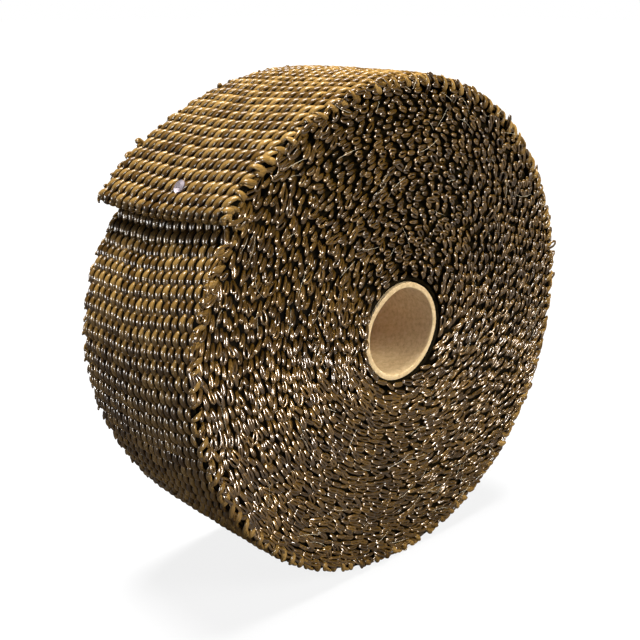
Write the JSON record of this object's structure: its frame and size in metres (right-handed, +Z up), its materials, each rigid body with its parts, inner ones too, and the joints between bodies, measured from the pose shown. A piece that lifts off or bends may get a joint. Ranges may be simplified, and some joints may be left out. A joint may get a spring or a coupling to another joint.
{
  "type": "exhaust heat wrap roll",
  "caption": "Roll of woven basalt heat wrap tape on a cardboard core, standing on its rim, with its free end folded under and pinned.",
  "frame": {"origin": "on the floor under the middle of the roll, which stands on its rim", "axes": "+Z up, Y along the roll's axis with the end face of the picture towards -Y, and the free end on the -X side"},
  "size_m": [0.1404, 0.05, 0.1406],
  "materials": {
    "woven_basalt": "coarse warp-faced weave of golden brown basalt yarns with glassy glints",
    "kraft_cardboard": "matt spirally wound kraft board",
    "nickelled_steel": "satin nickel plate"
  },
  "bodies": {
    "root": {"wound_wrap": "woven_basalt", "core_tube": "kraft_cardboard", "tail_pin": "nickelled_steel"}
  },
  "joints": []
}
